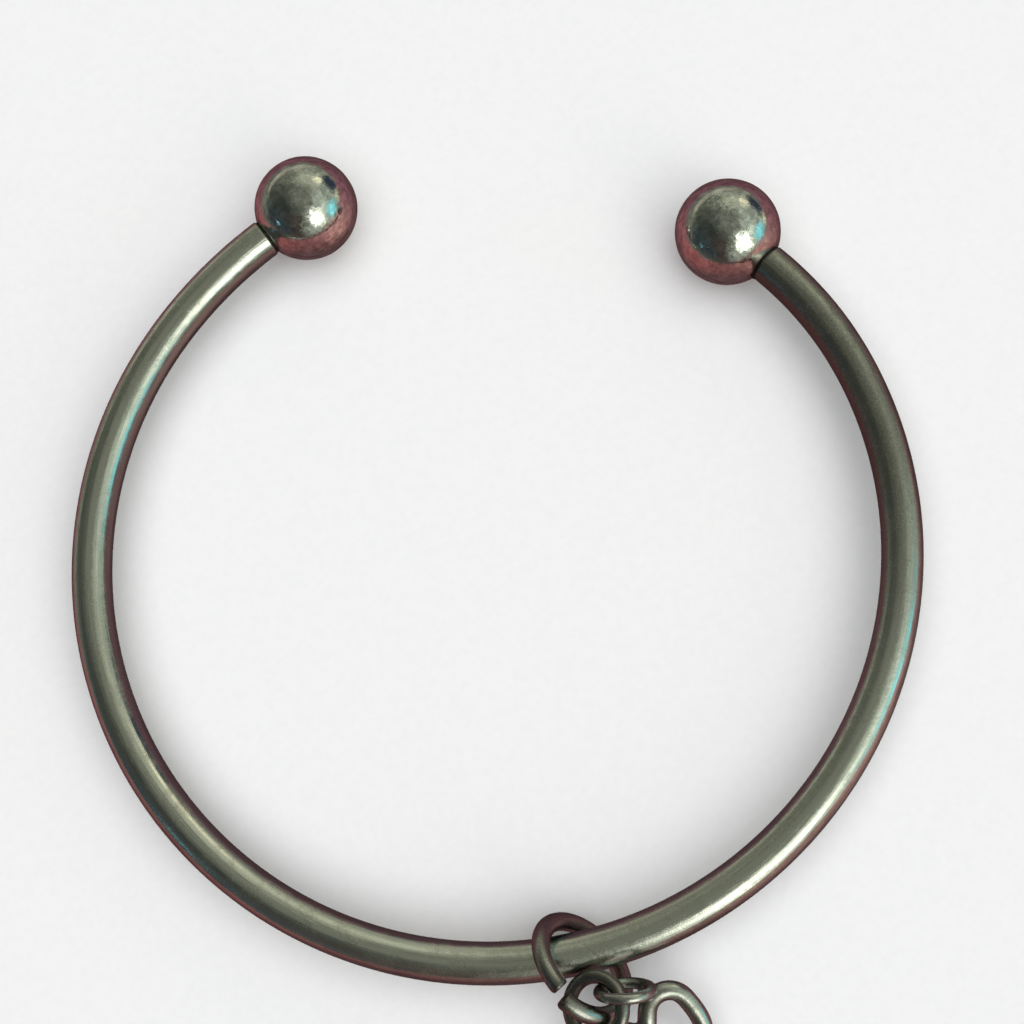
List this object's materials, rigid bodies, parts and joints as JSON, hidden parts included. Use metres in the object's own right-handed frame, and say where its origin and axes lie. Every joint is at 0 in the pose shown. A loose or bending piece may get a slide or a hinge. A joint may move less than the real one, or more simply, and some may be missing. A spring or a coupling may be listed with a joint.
{
  "type": "bangle bracelet",
  "caption": "Open torque bangle of round silver-tone bar with a ball on each end, carrying an open heart charm on two linked jump rings.",
  "frame": {"origin": "centre of the circle that the bar is bent to, at the middle of the bar's thickness", "axes": "+Z along the bangle's axis (the way the wrist goes through), +Y from the middle towards the gap between the balls, +X towards the right-hand ball's side"},
  "size_m": [0.0632, 0.0684, 0.0085],
  "materials": {
    "bar_metal": "polished, worn",
    "ball_metal": "polished, worn and mottled on top",
    "solder_metal": "matt, darkened",
    "ring_metal": "polished wire",
    "charm_metal": "polished casting"
  },
  "bodies": {
    "bangle": {"bangle_bar": "bar_metal", "ball_left": "ball_metal", "ball_right": "ball_metal", "solder_seam_left": "solder_metal", "solder_seam_right": "solder_metal"},
    "large_ring": {"jump_ring_large": "ring_metal"},
    "small_ring": {"jump_ring_small": "ring_metal"},
    "charm": {"heart_charm": "charm_metal"}
  },
  "joints": [
    {"name": "large_ring_slide", "type": "hinge", "parent": "bangle", "child": "large_ring", "pos_m": [0, 0, 0], "axis": [0, 0, 1], "range_deg": [-135, 100]},
    {"name": "small_ring_swing", "type": "hinge", "parent": "large_ring", "child": "small_ring", "pos_m": [0.01114, -0.03257, 0.00194], "axis": [0.6375, 0.0643, -0.7678], "range_deg": [-4, 30]},
    {"name": "charm_swing", "type": "hinge", "parent": "small_ring", "child": "charm", "pos_m": [0.01209, -0.03113, 0.00253], "axis": [-0.4711, 0.8606, -0.1937], "range_deg": [-30, 2]}
  ]
}
